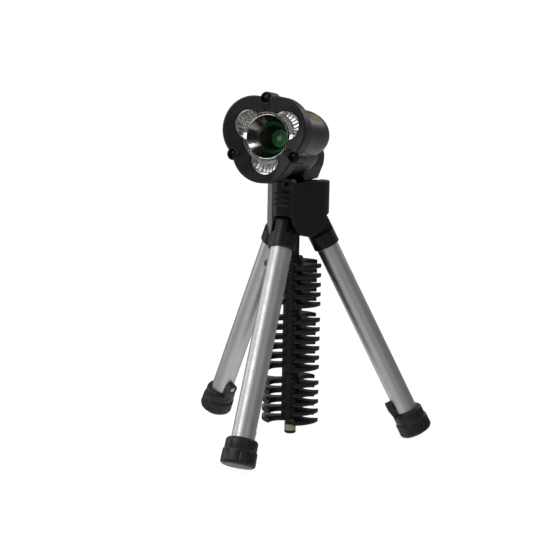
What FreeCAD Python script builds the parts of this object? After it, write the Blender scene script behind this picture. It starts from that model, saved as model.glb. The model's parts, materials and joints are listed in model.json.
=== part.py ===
import FreeCAD, Part
import math
import os
import re
import Sketcher

# A pocket torch that stands on its own folding tripod. The ribbed core round the post between the legs
# completes the handle when they are folded. Millimetres, +Z up, Z = 0 is the surface that the feet stand on.
# X = 0 is the plane of symmetry, and the torch looks along -Y, over the front leg. The origin is the middle
# of the footprint, so the tripod's own axis stands at Y = axis_back.

SIZES = {
    # legs: leg_length runs from the pivot's level to the foot's bottom, along the leg
    "axis_back": 18.34, "splay": 27.0, "pivot_ring": 11.1, "leg_offset": 2.5, "leg_length": 135.5,
    "tube_radius": 6.35, "tube_bore": 5.55, "tube_seat": 4.2,
    "knuckle_radius": 7.55, "knuckle_top": 5.0, "knuckle_drop": 12.6, "knuckle_round": 3.0,
    "knuckle_half": 3.45, "knuckle_neck": 4.2, "pin_radius": 1.25, "pin_reach": 8.9, "pin_clearance": 0.05,
    "foot_radius": 9.7, "foot_collar": 8.9, "foot_height": 15.0, "foot_step": 8.6, "foot_floor": 4.0,
    "foot_round": 2.0, "foot_flat": 0.35, "foot_seam": 0.6, "lug_radius": 3.3, "lug_level": 20.4,
    "lug_root": 12.0, "lug_reach": 9.85, "stud_radius": 1.5, "stud_depth": 1.6,
    # hub
    "hub_face": 14.25, "hub_corner": 8.9, "hub_top": 150.0, "hub_bottom": 119.4, "slot_top": 131.6,
    "slot_half": 3.75, "slot_floor": 4.9, "hinge_radius": 4.5, "hinge_gap": 0.5, "tongue_half": 3.5,
    "side_gap": 0.25, "ear_reach": 9.6, "cheek_radius": 12.8, "cheek_inside": 8.0,
    "grip_low": 137.8, "grip_pitch": 3.1, "grip_radius": 0.75, "grip_half": 4.5,
    "lock_side": 3.2, "lock_level": 149.9, "lock_radius": 3.2, "lock_inner": 14.0, "lock_outer": 19.9,
    "lock_hole": 1.2, "lock_depth": 2.0,
    # centre post and the ribbed core round it
    "post_radius": 3.2, "post_low": 9.2, "post_top": 139.6,
    "tip_radius": 3.35, "tip_low": 3.7, "band_low": 5.6, "tip_bevel": 0.4,
    "rib_radius": 16.6, "core_radius": 5.4, "rib_low": 11.9, "rib_thick": 2.4,
    "rib_pitch": 5.48, "tier_gap": 6.7, "bay_ring": 13.1, "bay_radius": 7.5,
    # torch head, along its own optical axis, measured back from a plane just ahead of its front ring
    "head_ahead": 47.7, "head_height": 177.2, "head_tilt": 6.0,
    "bezel_ring": 7.2, "bezel_lobe": 17.8, "bezel_front": 0.2, "bezel_back": 9.5,
    "boss_ring": 20.3, "boss_radius": 3.4, "boss_front": 1.6, "boss_back": 12.0, "lug_end": 14.0,
    "screw_radius": 1.5, "screw_head": 2.5, "screw_depth": 3.4, "screw_sink": 2.1, "drive_half": 0.35,
    "drive_depth": 0.7, "window_ring": 12.3, "window_lobe": 7.8, "window_eye": 13.2, "window_depth": 4.6,
    "window_land": 0.8, "lens_edge": 0.8, "lens_thick": 1.0, "edge_gap": 0.1,
    "dish_ring": 10.4, "dish_lobe": 12.4, "dish_eye": 15.5,
    "rim_depth": 5.8, "plate_thick": 1.2, "bowl_radius": 11.5, "bowl_depth": 17.6, "bowl_wall": 0.7,
    "lamp_hole": 5.0, "lamp_half": 1.35, "lamp_thick": 0.9, "slug_thick": 0.5,
    "barrel_ring": 6.9, "barrel_lobe": 13.4, "barrel_wall": 1.5, "dome_start": 40.2, "dome_length": 27.0,
    "board_front": 24.4, "board_thick": 1.2, "board_radius": 11.0, "contact_radius": 2.6, "contact_rise": 1.0,
    "cell_ring": 7.0, "cell_radius": 5.9, "cell_length": 30.2, "cell_front": 26.4,
    "rear_board": 57.4, "rear_lobe": 7.4, "switch_radius": 3.0, "switch_back": 60.4, "stem_radius": 1.4,
    "stem_length": 1.0, "stem_sink": 0.5, "button_radius": 4.2, "button_back": 65.6, "button_travel": 1.3,
    "button_gap": 0.05, "button_bevel": 0.8,
    "label_turn": 43.0, "label_half": 2.8, "label_front": 28.5, "label_length": 14.0, "label_thick": 0.5,
    # neck
    "neck_half": 10.0, "neck_foot": 8.0, "neck_gap": 0.4, "neck_round": 2.5,
}
# Each of these follows from the sizes above.
DERIVED = {
    "pivot_height": "(leg_length - foot_round) * cos(splay) + foot_round - foot_flat"
                    " + (foot_radius - foot_round - leg_offset) * sin(splay)",
    "hinge_back": "hub_face - hinge_radius",
    "hinge_height": "hub_top - hinge_radius",
}

TIERS = (("lower", 5), ("middle", 6), ("upper", 5))
THROUGH = 60  # longer than the way through any piece that a cutter passes right through
LEGS = {"front": -90.0, "right": 30.0, "left": 150.0}
LOBES = (30.0, 150.0, 270.0)
NOTCHES = (90.0, 210.0, 330.0)
AXIS_X = FreeCAD.Vector(1, 0, 0)
AXIS_Y = FreeCAD.Vector(0, 1, 0)
AXIS_Z = FreeCAD.Vector(0, 0, 1)

doc = FreeCAD.newDocument("tripod_torch")
sheet = doc.addObject("Spreadsheet::Sheet", "Sizes")
formulas = {alias: f"={text}" for alias, text in DERIVED.items()}
for row, (alias, value) in enumerate({**SIZES, **formulas}.items(), start=1):
    sheet.set(f"A{row}", alias)
    sheet.set(f"B{row}", str(value))
    sheet.setAlias(f"B{row}", alias)
doc.recompute()

subparts = []


def expression(text):
    """Write the sheet's name in front of every driving dimension named in the text."""
    words = re.findall(r"[A-Za-z_]\w*|[^A-Za-z_]+", text)
    return "".join(f"Sizes.{word}" if word in SIZES or word in DERIVED else word for word in words)


def number(text):
    """The value of an expression in the driving dimensions."""
    value = sheet.evalExpression(expression(text))
    return float(getattr(value, "Value", value))


def bind(item, path, text):
    item.setExpression(path, expression(text))


def solid(kind, name, sizes, base=("0", "0", "0"), turn=None):
    """A Part primitive whose sizes and position are bound to the sheet."""
    item = doc.addObject(f"Part::{kind}", name)
    if turn:
        item.Placement.Rotation = turn
    for path, text in sizes.items():
        bind(item, path, text)
    for axis, text in zip("xyz", base):
        bind(item, f".Placement.Base.{axis}", text)
    return item


def cylinder(name, radius, height, base=("0", "0", "0"), turn=None):
    return solid("Cylinder", name, {"Radius": radius, "Height": height}, base, turn)


def box(name, length, width, height, base=("0", "0", "0"), turn=None):
    return solid("Box", name, {"Length": length, "Width": width, "Height": height}, base, turn)


def around(ring, angle, level="0"):
    """Position text at an angle in degrees on a ring."""
    return (f"{ring} * cos({angle})", f"{ring} * sin({angle})", level)


def fuse(name, parts):
    item = doc.addObject("Part::MultiFuse", name)
    item.Shapes = parts
    item.Refine = True
    return item


def cut(name, base, tools):
    tool = tools[0] if len(tools) == 1 else fuse(f"{name}_tools", tools)
    item = doc.addObject("Part::Cut", name)
    item.Base = base
    item.Tool = tool
    item.Refine = True
    return item


def common(name, parts):
    item = doc.addObject("Part::MultiCommon", name)
    item.Shapes = parts
    return item


def subpart(label, item, placement):
    """Register a finished piece under the name of its file, and put it in its place."""
    doc.recompute()
    here = item.Placement.copy()
    for axis in "xyz":
        item.setExpression(f".Placement.Base.{axis}", None)
    item.Label = label
    item.Placement = placement.multiply(here)
    subparts.append(item)


def plane(body, role):
    return next(feature for feature in body.Origin.OriginFeatures if feature.Role == role)


def outline(body, name, role, points):
    """A closed sketch of straight lines whose every corner is bound to the sheet."""
    sketch = body.newObject("Sketcher::SketchObject", name)
    sketch.AttachmentSupport = [(plane(body, role), "")]
    sketch.MapMode = "FlatFace"
    places = [FreeCAD.Vector(number(across), number(along), 0) for across, along in points]
    for index, start in enumerate(places):
        sketch.addGeometry(Part.LineSegment(start, places[(index + 1) % len(places)]), False)
    for index, (across, along) in enumerate(points):
        sketch.addConstraint(Sketcher.Constraint("Coincident", index, 2, (index + 1) % len(points), 1))
        for kind, axis, text in (("DistanceX", -2, across), ("DistanceY", -1, along)):
            if number(text) == 0:
                sketch.addConstraint(Sketcher.Constraint("PointOnObject", index, 1, axis))
                continue
            label = f"{kind}_{index}"
            order = sketch.addConstraint(Sketcher.Constraint(kind, -1, 1, index, 1, number(text)))
            sketch.renameConstraint(order, label)
            bind(sketch, f"Constraints.{label}", text)
    return sketch


def turned(name, points):
    """A body turned about its Z axis from an outline of radius and height."""
    body = doc.addObject("PartDesign::Body", name)
    sketch = outline(body, f"{name}_outline", "XZ_Plane", points)
    turn = body.newObject("PartDesign::Revolution", f"{name}_turn")
    turn.Profile = sketch
    turn.ReferenceAxis = (sketch, ["V_Axis"])
    turn.Angle = 360.0
    body.Tip = turn
    return body


def padded(name, role, points, height, midplane=False):
    """A body padded from an outline."""
    body = doc.addObject("PartDesign::Body", name)
    sketch = outline(body, f"{name}_outline", role, points)
    pad = body.newObject("PartDesign::Pad", f"{name}_pad")
    pad.Profile = sketch
    pad.Midplane = midplane
    bind(pad, "Length", height)
    body.Tip = pad
    return body


def rounded(body, name, radius, wanted):
    """Round the edges of a body's tip that a test picks out."""
    doc.recompute()
    base = body.Tip
    picked = [f"Edge{order}" for order, edge in enumerate(base.Shape.Edges, start=1) if wanted(edge)]
    fillet = body.newObject("PartDesign::Fillet", name)
    fillet.Base = (base, picked)
    bind(fillet, "Radius", radius)
    body.Tip = fillet
    return body


def lobed(name, ring, lobe, height, level, eye=None):
    """Three equal cylinders about an axis, as a prism with three lobes, and a round eye between them."""
    parts = [cylinder(f"{name}_lobe{order}", lobe, height, around(ring, angle, level))
             for order, angle in enumerate(LOBES)]
    if eye:
        parts.append(cylinder(f"{name}_eye", eye, height, ("0", "0", level)))
    return fuse(name, parts)


# ---------------------------------------------------------------- where things stand
stand = FreeCAD.Placement(FreeCAD.Vector(0, number("axis_back"), 0), FreeCAD.Rotation())
head_local = FreeCAD.Placement(FreeCAD.Vector(0, -number("head_ahead"), number("head_height")),
                               FreeCAD.Rotation(AXIS_X, 90 - number("head_tilt")))
head = stand.multiply(head_local)
along_x = FreeCAD.Rotation(AXIS_Y, 90)
along_y = FreeCAD.Rotation(AXIS_X, -90)


def leg_placement(angle, back=stand):
    """The frame of a splayed leg: its pivot at the origin, +X outwards, +Z up along the leg."""
    azimuth = FreeCAD.Placement(FreeCAD.Vector(), FreeCAD.Rotation(AXIS_Z, angle))
    pivot = FreeCAD.Placement(FreeCAD.Vector(number("pivot_ring"), 0, number("pivot_height")),
                              FreeCAD.Rotation(AXIS_Y, -number("splay")))
    return back.multiply(azimuth).multiply(pivot)


def knuckle(side, placement):
    """The plastic knuckle that holds a leg's tube and swings in its slot of the hub."""
    form = turned(f"knuckle_form_{side}", [("0", "-knuckle_drop"), ("knuckle_radius", "-knuckle_drop"),
                                           ("knuckle_radius", "knuckle_top"), ("0", "knuckle_top")])
    top = number("knuckle_top")
    rounded(form, f"knuckle_crown_{side}", "knuckle_round",
            lambda edge: edge.BoundBox.ZMin > top - 0.01 and edge.BoundBox.XLength > 1)
    bind(form, ".Placement.Base.x", "leg_offset")
    flats = [box(f"knuckle_flat_{side}_{order}", f"{THROUGH}", f"{THROUGH}", f"{THROUGH}",
                 (f"-{THROUGH / 2}", base, "-knuckle_neck"))
             for order, base in enumerate(("knuckle_half", f"-knuckle_half - {THROUGH}"))]
    seat = cylinder(f"tube_seat_{side}", "tube_radius", "knuckle_drop - tube_seat",
                    ("leg_offset", "0", "-knuckle_drop"))
    hole = cylinder(f"pin_hole_{side}", "pin_radius + pin_clearance", f"{THROUGH}",
                    ("0", f"-{THROUGH / 2}", "0"), along_y)
    subpart(f"leg_knuckle_{side}", cut(f"knuckle_{side}", form, flats + [seat, hole]), placement)


def leg_tube(side, placement):
    length = "leg_length - tube_seat - foot_floor"
    low = ("leg_offset", "0", "foot_floor - leg_length")
    outer = cylinder(f"tube_outer_{side}", "tube_radius", length, low)
    bore = cylinder(f"tube_bore_{side}", "tube_bore", length, low)
    subpart(f"leg_tube_{side}", cut(f"tube_{side}", outer, [bore]), placement)


def foot(side, placement):
    """A rubber cup on the tube's end, worn flat where it stands. An upright lug on it holds a steel stud."""
    form = turned(f"foot_form_{side}", [
        ("0", "0"), ("foot_radius", "0"), ("foot_radius", "foot_step"),
        ("foot_collar", "foot_step + foot_seam"), ("foot_collar", "foot_height"),
        ("tube_radius", "foot_height"), ("tube_radius", "foot_floor"), ("0", "foot_floor")])
    rounded(form, f"foot_toe_{side}", "foot_round",
            lambda edge: edge.BoundBox.ZMax < 0.01 and edge.BoundBox.XLength > 1)
    bind(form, ".Placement.Base.x", "leg_offset")
    bind(form, ".Placement.Base.z", "-leg_length")
    lug = cylinder(f"foot_lug_{side}", "lug_radius", "lug_reach - tube_radius",
                   ("leg_offset - lug_reach", "0", "lug_level - leg_length"), along_x)
    recess = cylinder(f"stud_recess_{side}", "stud_radius", "stud_depth",
                      ("leg_offset - lug_reach", "0", "lug_level - leg_length"), along_x)
    fin = box(f"foot_fin_{side}", "lug_reach - tube_radius", "lug_radius * 2", "lug_level - lug_root",
              ("leg_offset - lug_reach", "-lug_radius", "lug_root - leg_length"))
    tube_room = cylinder(f"tube_room_{side}", "tube_radius", "lug_level + lug_radius",
                         ("leg_offset", "0", "foot_floor - leg_length"))
    ground = doc.addObject("Part::Box", f"ground_{side}")
    ground.Length = 4 * THROUGH
    ground.Width = THROUGH
    ground.Height = THROUGH
    ground.Placement = leg_placement(0, FreeCAD.Placement()).inverse().multiply(
        FreeCAD.Placement(FreeCAD.Vector(0, -THROUGH / 2, -THROUGH), FreeCAD.Rotation()))
    shape = cut(f"foot_{side}", fuse(f"foot_blank_{side}", [form, lug, fin]), [recess, tube_room, ground])
    subpart(f"leg_foot_{side}", shape, placement)
    stud = cylinder(f"stud_{side}", "stud_radius", "stud_depth",
                    ("leg_offset - lug_reach", "0", "lug_level - leg_length"), along_x)
    subpart(f"foot_stud_{side}", stud, placement)


def hub():
    """A rounded triangular housing with a slot in each corner for a knuckle and one behind for the neck."""
    reach = "hub_face * 2"
    corners = [(f"{reach} * cos({angle})", f"{reach} * sin({angle})") for angle in LEGS.values()]
    form = padded("hub_form", "XY_Plane", corners, "hub_top - hub_bottom")
    rounded(form, "hub_corners", "hub_corner", lambda edge: edge.BoundBox.ZLength > 5)
    bind(form, ".Placement.Base.z", "hub_bottom")
    tools = []
    for side, angle in LEGS.items():
        turn = FreeCAD.Rotation(AXIS_Z, angle)
        corner = (f"slot_floor * cos({angle}) + slot_half * sin({angle})",
                  f"slot_floor * sin({angle}) - slot_half * cos({angle})", "hub_bottom - 1")
        tools.append(box(f"hub_slot_{side}", "hub_face * 2", "slot_half * 2", "slot_top - hub_bottom + 1",
                         corner, turn))
        hole = cylinder(f"hub_pin_hole_{side}", "pin_radius", "pin_reach * 2",
                        (f"pivot_ring * cos({angle}) + pin_reach * sin({angle})",
                         f"pivot_ring * sin({angle}) - pin_reach * cos({angle})", "pivot_height"))
        hole.Placement.Rotation = turn.multiply(along_y)
        tools.append(hole)
    tools.append(cylinder("hub_post_hole", "post_radius", "post_top - hub_bottom + 1",
                          ("0", "0", "hub_bottom - 1")))
    room = "(hinge_radius + hinge_gap)"
    tools.append(box("hub_neck_slot", "(tongue_half + side_gap) * 2", f"{THROUGH}", f"{THROUGH}",
                     ("-tongue_half - side_gap", f"hinge_back - {room}", f"hinge_height - {room}")))
    tools.append(cylinder("hub_hinge_hole", "pin_radius", "ear_reach * 2",
                          ("-ear_reach", "hinge_back", "hinge_height"), along_x))
    edge = box("hub_back_edge", "(neck_half + hinge_gap) * 2", f"{THROUGH}", f"{THROUGH}",
               ("-neck_half - hinge_gap", "hinge_back", "hinge_height"))
    ear = cylinder("hub_ear", "hinge_radius", f"{THROUGH}", (f"-{THROUGH / 2}", "hinge_back", "hinge_height"),
                   along_x)
    tools.append(cut("hub_back_round", edge, [ear]))
    for angle in LEGS.values():
        tools.append(cheek_round(angle + 60))
    shape = cut("hub", form, tools)
    grips = [cylinder(f"hub_grip_{order}", "grip_radius", "grip_half * 2",
                      ("-grip_half", "-hub_face * 2 + hub_corner", f"grip_low + {order} * grip_pitch"),
                      along_x)
             for order in range(3)]
    lock = cylinder("hub_lock", "lock_radius", "lock_outer - lock_inner",
                    ("lock_side", "-lock_outer", "lock_level"), along_y)
    lock_hole = cylinder("hub_lock_hole", "lock_hole", "lock_depth",
                         ("lock_side", "-lock_outer", "lock_level"), along_y)
    subpart("hub_housing", cut("hub_whole", fuse("hub_dressed", [shape, lock] + grips), [lock_hole]), stand)


def cheek_round(angle):
    """What is cut away to round the lower end of the cheek between two legs."""
    turn = FreeCAD.Rotation(AXIS_Z, angle)
    side = int(angle) % 360
    corner = (f"cheek_inside * cos({angle}) + {THROUGH / 2} * sin({angle})",
              f"cheek_inside * sin({angle}) - {THROUGH / 2} * cos({angle})", "hub_bottom - 1")
    block = box(f"cheek_block_{side}", f"{THROUGH}", f"{THROUGH}", "cheek_radius", corner, turn)
    rim = cylinder(f"cheek_rim_{side}", "cheek_radius", f"{THROUGH}", ("0", "0", "hub_bottom + cheek_radius"))
    rim.Placement.Rotation = turn.multiply(along_x)
    return cut(f"cheek_{side}", block, [rim])


def hinge_pins():
    pins = []
    for side, angle in LEGS.items():
        pin = cylinder(f"leg_pin_{side}", "pin_radius", "pin_reach * 2",
                       (f"pivot_ring * cos({angle}) + pin_reach * sin({angle})",
                        f"pivot_ring * sin({angle}) - pin_reach * cos({angle})", "pivot_height"))
        pin.Placement.Rotation = FreeCAD.Rotation(AXIS_Z, angle).multiply(along_y)
        pins.append(pin)
    subpart("leg_pivot_pins", fuse("leg_pins", pins), stand)
    subpart("neck_pin", cylinder("hinge_rod", "pin_radius", "ear_reach * 2",
                                 ("-ear_reach", "hinge_back", "hinge_height"), along_x), stand)


def post():
    """The rod under the hub, and the tip at its foot that the studs of the folded legs rest against."""
    rod = cylinder("post_rod", "post_radius", "post_top - post_low", ("0", "0", "post_low"))
    subpart("centre_post", rod, stand)
    band = cylinder("band_rim", "tip_radius", "post_low - band_low", ("0", "0", "band_low"))
    subpart("post_tip_band", band, stand)
    tip = turned("tip_form", [
        ("0", "tip_low"), ("tip_radius - tip_bevel", "tip_low"), ("tip_radius", "tip_low + tip_bevel"),
        ("tip_radius", "band_low"), ("0", "band_low")])
    subpart("post_tip_magnet", tip, stand)


def grip_core():
    """Three tiers of ribs on a core, with a bay for each folded leg."""
    low = "rib_low"
    for tier, ribs in TIERS:
        top = f"{low} + {ribs - 1} * rib_pitch + rib_thick"
        core_low = low if tier == "lower" else f"{low} - tier_gap / 2"
        core_top = f"{top} + tier_gap / 2"
        parts = [cylinder(f"core_{tier}", "core_radius", f"({core_top}) - ({core_low})",
                          ("0", "0", core_low))]
        parts += [cylinder(f"rib_{tier}_{order}", "rib_radius", "rib_thick",
                           ("0", "0", f"{low} + {order} * rib_pitch")) for order in range(ribs)]
        tools = [cylinder(f"core_bore_{tier}", "post_radius", "post_top")]
        tools += [cylinder(f"bay_{tier}_{side}", "bay_radius", "post_top", around("bay_ring", angle))
                  for side, angle in LEGS.items()]
        subpart(f"grip_core_{tier}", cut(f"grip_{tier}", fuse(f"grip_blank_{tier}", parts), tools), stand)
        low = f"{top} + tier_gap"


def barrel_form(name, skin="0"):
    """The torch body's outer form, or its hollow when a skin thickness is taken off it."""
    lobe = f"barrel_lobe - {skin}"
    parts = [lobed(f"{name}_prism", "barrel_ring", lobe, "dome_start - bezel_back", "-dome_start")]
    for order, angle in enumerate(LOBES):
        parts.append(solid("Ellipsoid", f"{name}_dome{order}",
                           {"Radius1": f"dome_length - {skin}", "Radius2": lobe, "Radius3": lobe},
                           around("barrel_ring", angle, "-dome_start")))
    return fuse(name, parts)


def label_block(name):
    """A block that reaches into the upper right lobe as far as the label is let in."""
    reach = "(barrel_lobe - label_thick)"
    corner = (f"barrel_ring * cos(30) + {reach} * cos(label_turn) + label_half * sin(label_turn)",
              f"barrel_ring * sin(30) + {reach} * sin(label_turn) - label_half * cos(label_turn)",
              "-label_front - label_length")
    return box(name, "barrel_lobe", "label_half * 2", "label_length", corner,
               FreeCAD.Rotation(AXIS_Z, number("label_turn")))


def barrel():
    """The torch's thin-walled body with three lugs for the screws, and the blank plate let into its side."""
    lugs = []
    for order, angle in enumerate(NOTCHES):
        lugs.append(cylinder(f"barrel_boss{order}", "boss_radius", "lug_end - boss_back",
                             around("boss_ring", angle, "-lug_end")))
        web = (f"(barrel_lobe - barrel_wall) * cos({angle}) + boss_radius * sin({angle})",
               f"(barrel_lobe - barrel_wall) * sin({angle}) - boss_radius * cos({angle})", "-lug_end")
        lugs.append(box(f"barrel_web{order}", "boss_ring - barrel_lobe + barrel_wall", "boss_radius * 2",
                        "lug_end - boss_back", web, FreeCAD.Rotation(AXIS_Z, angle)))
    holes = [cylinder(f"barrel_screw_hole{order}", "screw_radius", "(lug_end - boss_back) / 2",
                      around("boss_ring", angle, "-(lug_end + boss_back) / 2"))
             for order, angle in enumerate(NOTCHES)]
    hollow = barrel_form("barrel_hollow", "barrel_wall")
    button_hole = cylinder("barrel_button_hole", "button_radius + button_gap", "dome_start",
                           ("0", "0", "-dome_start - dome_length - barrel_ring"))
    outer = fuse("barrel_outer", [barrel_form("barrel_skin")] + lugs)
    tools = [hollow, button_hole, label_block("barrel_label_seat")] + holes
    subpart("barrel_shell", cut("barrel", outer, tools), head)
    subpart("label_plate", common("label", [label_block("label_blank"), barrel_form("label_skin")]), head)


def bezel():
    """The three-lobed front ring with a dished face, an eye for the lamp and a boss for each screw."""
    outer = lobed("bezel_outer", "bezel_ring", "bezel_lobe", "bezel_back - bezel_front", "-bezel_back")
    bosses = [cylinder(f"bezel_boss{order}", "boss_radius", "boss_back - boss_front",
                       around("boss_ring", angle, "-boss_back")) for order, angle in enumerate(NOTCHES)]
    tools = [lobed("bezel_window", "window_ring", "window_lobe", "bezel_back", "-bezel_back", "window_eye"),
             lobed("bezel_pocket", "window_ring", "window_lobe + lens_edge", "bezel_back - window_depth",
                   "-bezel_back", "window_eye + lens_edge")]
    depth = "window_depth - window_land - bezel_front"
    for order, angle in enumerate(LOBES):
        tools.append(solid("Cone", f"bezel_dish{order}",
                           {"Radius1": "window_lobe", "Radius2": "dish_lobe", "Height": depth},
                           around("(window_ring + dish_ring) / 2", angle, "-window_depth + window_land")))
    slope = {"Radius1": "window_eye", "Radius2": "dish_eye", "Height": depth}
    tools.append(solid("Cone", "bezel_dish_eye", slope, ("0", "0", "-window_depth + window_land")))
    for order, angle in enumerate(NOTCHES):
        tools.append(cylinder(f"bezel_screw_hole{order}", "screw_radius", "boss_back",
                              around("boss_ring", angle, "-boss_back")))
        tools.append(cylinder(f"bezel_counterbore{order}", "screw_head", "screw_depth + 1",
                              around("boss_ring", angle, "-screw_depth")))
    subpart("front_bezel", cut("bezel", fuse("bezel_blank", [outer] + bosses), tools), head)


def bezel_screws():
    screws = []
    low = "-(lug_end + boss_back) / 2"
    for order, angle in enumerate(NOTCHES):
        shank = cylinder(f"screw_shank{order}", "screw_radius", f"-screw_depth - ({low})",
                         around("boss_ring", angle, low))
        crown = cylinder(f"screw_crown{order}", "screw_head", "screw_depth - screw_sink",
                         around("boss_ring", angle, "-screw_depth"))
        drives = []
        for way, (across, along) in enumerate((("screw_head", "drive_half"), ("drive_half", "screw_head"))):
            drives.append(box(f"screw_drive{order}_{way}", f"{across} * 2", f"{along} * 2", "drive_depth",
                              (f"boss_ring * cos({angle}) - {across}", f"boss_ring * sin({angle}) - {along}",
                               "-screw_sink - drive_depth")))
        screws.append(cut(f"screw{order}", fuse(f"screw_blank{order}", [shank, crown]), drives))
    subpart("bezel_screws", fuse("screws", screws), head)


def optics():
    subpart("front_lens", lobed("lens", "window_ring", "window_lobe + lens_edge - edge_gap", "lens_thick",
                                "-window_depth - lens_thick", "window_eye + lens_edge - edge_gap"), head)
    plate = lobed("plate_blank", "window_ring", "window_lobe + lens_edge - edge_gap", "plate_thick",
                  "-rim_depth - plate_thick", "window_eye + lens_edge - edge_gap")
    eye = cylinder("plate_eye", "bowl_radius + bowl_wall", "bowl_depth", ("0", "0", "-bowl_depth"))
    subpart("side_reflector", cut("plate", plate, [eye]), head)
    half = {"Radius1": "bowl_depth + bowl_wall", "Radius2": "bowl_radius + bowl_wall",
            "Radius3": "bowl_radius + bowl_wall"}
    outside = solid("Ellipsoid", "bowl_outside", half, ("0", "0", "-rim_depth"))
    inside = solid("Ellipsoid", "bowl_inside", {"Radius1": "bowl_depth", "Radius2": "bowl_radius",
                                                "Radius3": "bowl_radius"}, ("0", "0", "-rim_depth"))
    outside.Angle2 = 0
    throat = cylinder("bowl_throat", "lamp_hole", f"{THROUGH}", ("0", "0", f"-rim_depth - {THROUGH}"))
    behind = cylinder("bowl_behind", "bowl_radius", "bowl_depth", ("0", "0", "-board_front - bowl_depth"))
    subpart("main_reflector", cut("bowl", outside, [inside, throat, behind]), head)


def electrics():
    subpart("lamp_board", fuse("lamp_board_whole", [
        cylinder("board_disc", "board_radius", "board_thick", ("0", "0", "-board_front - board_thick")),
        cylinder("lamp_slug", "lamp_hole - edge_gap", "slug_thick", ("0", "0", "-board_front"))]), head)
    base = box("lamp_base", "lamp_half * 2", "lamp_half * 2", "lamp_thick",
               ("-lamp_half", "-lamp_half", "-board_front + slug_thick"))
    dome = solid("Sphere", "lamp_dome", {"Radius": "lamp_half - edge_gap"},
                 ("0", "0", "-board_front + slug_thick + lamp_thick"))
    dome.Angle1 = 0
    subpart("led_lamp", fuse("lamp", [base, dome]), head)
    contacts = [cylinder(f"contact{order}", "contact_radius", "cell_front - board_front - board_thick",
                         around("cell_ring", angle, "-cell_front")) for order, angle in enumerate(LOBES)]
    subpart("front_contacts", fuse("contacts", contacts), head)
    for name, angle in zip(("right", "left", "bottom"), LOBES):
        can = cylinder(f"cell_can_{name}", "cell_radius", "cell_length - contact_rise",
                       around("cell_ring", angle, "-cell_front - cell_length"))
        cap = cylinder(f"cell_cap_{name}", "contact_radius", "contact_rise",
                       around("cell_ring", angle, "-cell_front - contact_rise"))
        subpart(f"battery_cell_{name}", fuse(f"cell_{name}", [can, cap]), head)
    subpart("rear_contact_board", lobed("rear_board_whole", "barrel_ring", "rear_lobe",
                                        "rear_board + board_thick - cell_front - cell_length",
                                        "-rear_board - board_thick"), head)
    subpart("power_switch", fuse("switch", [
        cylinder("switch_can", "switch_radius", "switch_back - rear_board - board_thick - stem_sink",
                 ("0", "0", "-switch_back + stem_sink")),
        cylinder("switch_stem", "stem_radius", "stem_length", ("0", "0", "-switch_back"))]), head)
    button = turned("button_form", [("0", "-button_back"), ("button_radius - button_bevel", "-button_back"),
                                    ("button_radius", "-button_back + button_bevel"),
                                    ("button_radius", "-switch_back - button_travel"),
                                    ("0", "-switch_back - button_travel")])
    subpart("power_button", button, head)


def neck():
    """The cradle under the torch, cut to the torch's own form, with the tongue that is hinged in the hub."""
    low = "hub_top + neck_gap"
    side_view = [("-6.5", low), ("hub_face + neck_gap", low), ("17.2", "156.5"), ("19.2", "160.5"),
                 ("19.4", "164"), ("17.6", "166.4"), ("-9.5", "166.6"), ("-9.5", "153")]
    block = padded("neck_block", "YZ_Plane", side_view, "neck_half * 2", midplane=True)
    rounded(block, "neck_edges", "neck_round",
            lambda edge: edge.BoundBox.XLength > 5 and edge.BoundBox.ZMin > 155 and edge.BoundBox.YMin > 16)
    front_view = [("-neck_foot", low), ("neck_foot", low), ("neck_half", "158"), ("neck_half", "170"),
                  ("-neck_half", "170"), ("-neck_half", "158")]
    sides = padded("neck_sides", "XZ_Plane", front_view, f"{THROUGH}", midplane=True)
    bed = barrel_form("neck_bed")
    bed.Placement = head_local
    tongue = [cylinder("neck_knuckle", "hinge_radius", "tongue_half * 2",
                       ("-tongue_half", "hinge_back", "hinge_height"), along_x),
              box("neck_root", "tongue_half * 2", "hinge_radius * 2", "hinge_radius * 2",
                  ("-tongue_half", "hinge_back - hinge_radius", "hinge_height"))]
    hole = cylinder("neck_hole", "pin_radius + pin_clearance", f"{THROUGH}",
                    (f"-{THROUGH / 2}", "hinge_back", "hinge_height"), along_x)
    cradle = common("neck_cradle", [block, sides])
    subpart("head_neck", cut("neck", fuse("neck_blank", [cradle] + tongue), [bed, hole]), stand)


for side, angle in LEGS.items():
    frame = leg_placement(angle)
    knuckle(side, frame)
    leg_tube(side, frame)
    foot(side, frame)
hub()
hinge_pins()
post()
grip_core()
barrel()
bezel()
bezel_screws()
optics()
electrics()
neck()
doc.recompute()

# ---------------------------------------------------------------- check and write
faults = [item.Name for item in doc.Objects if {"Invalid", "Error"} & set(item.State)]
for item in subparts:
    if item.Shape.isNull() or not item.Shape.isValid():
        faults.append(item.Label)
if faults:
    raise RuntimeError(f"these objects failed: {faults}")

os.makedirs("parts", exist_ok=True)
for item in subparts:
    item.Shape.exportStep(f"parts/{item.Label}.step")

whole = FreeCAD.BoundBox()
for item in subparts:
    whole.add(item.Shape.BoundBox)
low_and_high = (whole.XMin, whole.YMin, whole.ZMin, whole.XMax, whole.YMax, whole.ZMax)
print("box", [round(value, 2) for value in low_and_high])
print("pivot height", round(number("pivot_height"), 3), "pieces", len(subparts))
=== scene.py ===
import json
import math

import bmesh
import bpy
from mathutils import Matrix, Vector


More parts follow.
